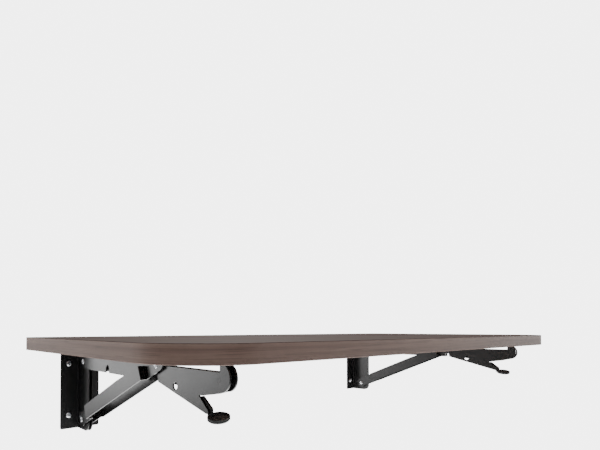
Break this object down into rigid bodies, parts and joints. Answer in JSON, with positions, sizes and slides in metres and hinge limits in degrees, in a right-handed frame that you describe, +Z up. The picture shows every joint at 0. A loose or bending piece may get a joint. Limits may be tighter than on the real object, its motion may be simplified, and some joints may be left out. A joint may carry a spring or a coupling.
{
  "type": "wall mounted drop leaf table",
  "caption": "Wall mounted drop leaf table: wood panel with rounded front corners on black folding steel brackets with release levers.",
  "frame": {"origin": "centre of the outer wall hole pattern, on the plane of the wall behind the plates", "axes": "+X along the wall to the right for someone facing it, +Y into the wall, +Z up; the open table stands out toward -Y"},
  "size_m": [0.86, 0.406, 0.138],
  "materials": {
    "laminate_board": "satin wood grain laminate",
    "edge_laminate": "satin wood grain edge band",
    "black_steel": "satin black powder coat",
    "zinc_steel": "bright zinc",
    "black_plastic": "matt moulded"
  },
  "bodies": {
    "wall_mounts": {"left_wall_plate": "black_steel", "left_hinge_pin": "zinc_steel", "left_foot_pin": "zinc_steel", "left_foot_spacers": "zinc_steel", "right_wall_plate": "black_steel", "right_hinge_pin": "zinc_steel", "right_foot_pin": "zinc_steel", "right_foot_spacers": "zinc_steel"},
    "table": {"tabletop_board": "laminate_board", "front_edge_band": "edge_laminate", "back_edge_band": "edge_laminate", "left_arm": "black_steel", "left_arm_screws": "zinc_steel", "left_lever_pin": "black_steel", "right_arm": "black_steel", "right_arm_screws": "zinc_steel", "right_lever_pin": "black_steel"},
    "left_brace": {"left_brace_right_bar": "black_steel", "left_brace_left_bar": "black_steel", "left_knee_rivets": "zinc_steel"},
    "right_brace": {"right_brace_right_bar": "black_steel", "right_brace_left_bar": "black_steel", "right_knee_rivets": "zinc_steel"},
    "left_lever": {"left_release_lever": "black_steel", "left_finger_pad": "black_plastic"},
    "right_lever": {"right_release_lever": "black_steel", "right_finger_pad": "black_plastic"}
  },
  "joints": [
    {"name": "table_fold", "type": "hinge", "parent": "wall_mounts", "child": "table", "pos_m": [0, -0.026, 0.0425], "axis": [1, 0, 0], "range_deg": [0, 87]},
    {"name": "left_brace_swing", "type": "hinge", "parent": "wall_mounts", "child": "left_brace", "pos_m": [-0.351, -0.026, -0.0425], "axis": [1, 0, 0], "range_deg": [0, 107.3]},
    {"name": "right_brace_swing", "type": "hinge", "parent": "wall_mounts", "child": "right_brace", "pos_m": [0.351, -0.026, -0.0425], "axis": [1, 0, 0], "range_deg": [0, 107.3]},
    {"name": "left_lever_release", "type": "hinge", "parent": "table", "child": "left_lever", "pos_m": [-0.351, -0.353, 0.0425], "axis": [1, 0, 0], "range_deg": [-6, 0], "stiffness_Nm_per_rad": 0.6, "springref_deg": 20.05},
    {"name": "right_lever_release", "type": "hinge", "parent": "table", "child": "right_lever", "pos_m": [0.351, -0.353, 0.0425], "axis": [1, 0, 0], "range_deg": [-6, 0], "stiffness_Nm_per_rad": 0.6, "springref_deg": 20.05}
  ],
  "couplings": [
    {"joint": "left_brace_swing", "follows": "table_fold", "ratio": 1.2309},
    {"joint": "right_brace_swing", "follows": "table_fold", "ratio": 1.2309}
  ]
}
